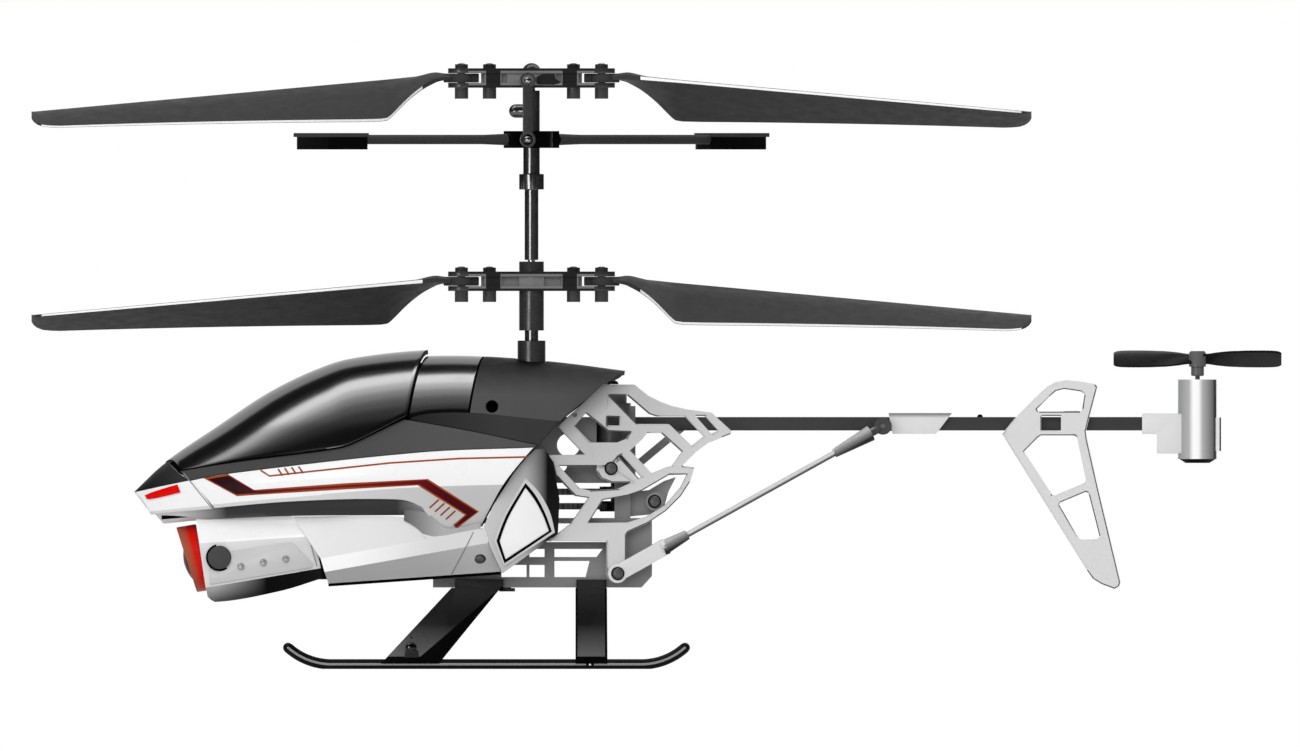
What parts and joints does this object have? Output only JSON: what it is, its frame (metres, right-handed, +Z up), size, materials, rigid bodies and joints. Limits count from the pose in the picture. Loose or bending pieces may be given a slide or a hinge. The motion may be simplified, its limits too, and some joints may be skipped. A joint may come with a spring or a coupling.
{
  "type": "remote control helicopter",
  "caption": "Indoor remote control helicopter with coaxial contra-rotating rotors, flybar, tail lift rotor, nose camera pod and a skid landing gear.",
  "frame": {"origin": "middle of the whole length and width, on the surface that the skids stand on", "axes": "+X towards the tail, the nose towards -X; +Z up; the helicopter's left side towards -Y"},
  "size_m": [0.25, 0.0756, 0.1212],
  "materials": {
    "white_shell": "glossy moulded white plastic",
    "charcoal_shell": "satin charcoal plastic",
    "black_glass": "polished black canopy",
    "silver_shell": "satin silver plastic",
    "red_lamp": "clear red plastic",
    "lens": "dark camera dome",
    "frame_grey": "grey nylon",
    "rotor_plastic": "dark flexible plastic",
    "black_plastic": "gloss black plastic",
    "aluminium": "satin aluminium",
    "steel": "ground steel",
    "brass": "cut brass",
    "circuit": "green circuit board",
    "battery_foil": "silver foil pouch"
  },
  "bodies": {
    "airframe": {"nose_cap": "white_shell", "side_shell_left": "white_shell", "side_shell_right": "white_shell", "camera_pod": "white_shell", "boom_clamp": "white_shell", "tail_motor_mount": "white_shell", "stay_clevis_left": "white_shell", "stay_clevis_right": "white_shell", "upper_shell_left": "charcoal_shell", "upper_shell_right": "charcoal_shell", "rear_hood": "charcoal_shell", "chin_tray": "charcoal_shell", "mast_housing": "charcoal_shell", "frame_screws": "charcoal_shell", "canopy_glass": "black_glass", "rear_canopy": "black_glass", "belly_shell": "silver_shell", "rear_flank_left": "silver_shell", "rear_flank_right": "silver_shell", "side_frame_left": "silver_shell", "side_frame_right": "silver_shell", "tail_fin": "silver_shell", "headlights": "red_lamp", "camera_bezel": "red_lamp", "camera_lens": "lens", "chassis_tray": "frame_grey", "gear_deck": "frame_grey", "gearbox_frame": "frame_grey", "tail_boom": "rotor_plastic", "motors": "black_plastic", "charge_jack": "black_plastic", "front_leg_left": "black_plastic", "front_leg_right": "black_plastic", "rear_leg_left": "black_plastic", "rear_leg_right": "black_plastic", "skid_left": "black_plastic", "skid_right": "black_plastic", "stay_rod_left": "aluminium", "stay_rod_right": "aluminium", "tail_motor": "aluminium", "circuit_board": "circuit", "battery_pack": "battery_foil"},
    "upper_rotor": {"inner_shaft": "steel", "mast_sleeve": "rotor_plastic", "lower_gear": "rotor_plastic"},
    "lower_rotor": {"outer_shaft": "rotor_plastic", "upper_gear": "rotor_plastic", "lower_hub": "black_plastic"},
    "left_pinion": {"pinion_left": "brass"},
    "right_pinion": {"pinion_right": "brass"},
    "head": {"rotor_head": "black_plastic"},
    "flybar": {"flybar": "rotor_plastic"},
    "link": {"rotor_link": "black_plastic"},
    "upper_front_blade": {"upper_blade_front": "rotor_plastic"},
    "upper_rear_blade": {"upper_blade_rear": "rotor_plastic"},
    "lower_front_blade": {"lower_blade_front": "rotor_plastic"},
    "lower_rear_blade": {"lower_blade_rear": "rotor_plastic"},
    "tail_rotor": {"tail_rotor": "rotor_plastic"},
    "record_button": {"record_button": "charcoal_shell"},
    "power_switch": {"power_switch": "black_plastic"}
  },
  "joints": [
    {"name": "upper_rotor_spin", "type": "hinge", "parent": "airframe", "child": "upper_rotor", "pos_m": [-0.025, 0, 0.1], "axis": [0, 0, 1], "continuous": true},
    {"name": "lower_rotor_spin", "type": "hinge", "parent": "airframe", "child": "lower_rotor", "pos_m": [-0.025, 0, 0.07], "axis": [0, 0, 1], "continuous": true},
    {"name": "right_pinion_spin", "type": "hinge", "parent": "airframe", "child": "right_pinion", "pos_m": [-0.00864, 0.00532, 0.033], "axis": [0, 0, 1], "continuous": true},
    {"name": "left_pinion_spin", "type": "hinge", "parent": "airframe", "child": "left_pinion", "pos_m": [-0.00864, -0.00532, 0.036], "axis": [0, 0, 1], "continuous": true},
    {"name": "tail_rotor_spin", "type": "hinge", "parent": "airframe", "child": "tail_rotor", "pos_m": [0.1082, 0, 0.06], "axis": [0, 0, 1], "continuous": true},
    {"name": "flybar_rock", "type": "hinge", "parent": "upper_rotor", "child": "flybar", "pos_m": [-0.025, 0, 0.1059], "axis": [1, 0, 0], "range_deg": [-12, 12]},
    {"name": "head_tilt", "type": "hinge", "parent": "upper_rotor", "child": "head", "pos_m": [-0.025, 0, 0.1182], "axis": [1, 0, 0], "range_deg": [-12, 12]},
    {"name": "link_lift", "type": "slide", "parent": "upper_rotor", "child": "link", "axis": [0, 0, 1], "range_m": [-0.0013, 0.0013]},
    {"name": "upper_front_blade_lag", "type": "hinge", "parent": "head", "child": "upper_front_blade", "pos_m": [-0.039, 0, 0.1182], "axis": [0, 0, 1], "range_deg": [-15, 15]},
    {"name": "upper_rear_blade_lag", "type": "hinge", "parent": "head", "child": "upper_rear_blade", "pos_m": [-0.011, 0, 0.1182], "axis": [0, 0, 1], "range_deg": [-15, 15]},
    {"name": "lower_front_blade_lag", "type": "hinge", "parent": "lower_rotor", "child": "lower_front_blade", "pos_m": [-0.039, 0, 0.07755], "axis": [0, 0, 1], "range_deg": [-15, 15]},
    {"name": "lower_rear_blade_lag", "type": "hinge", "parent": "lower_rotor", "child": "lower_rear_blade", "pos_m": [-0.011, 0, 0.07755], "axis": [0, 0, 1], "range_deg": [-15, 15]},
    {"name": "record_button_press", "type": "slide", "parent": "airframe", "child": "record_button", "axis": [0, 1, 0], "range_m": [0, 0.0006], "stiffness_N_per_m": 400},
    {"name": "power_switch_slide", "type": "slide", "parent": "airframe", "child": "power_switch", "axis": [1, 0, 0], "range_m": [0, 0.002]}
  ],
  "couplings": [
    {"joint": "right_pinion_spin", "follows": "upper_rotor_spin", "ratio": -6.1667},
    {"joint": "left_pinion_spin", "follows": "lower_rotor_spin", "ratio": -6.1667},
    {"joint": "head_tilt", "follows": "flybar_rock", "ratio": 1},
    {"joint": "link_lift", "follows": "flybar_rock", "m_per_rad": -0.0052}
  ]
}
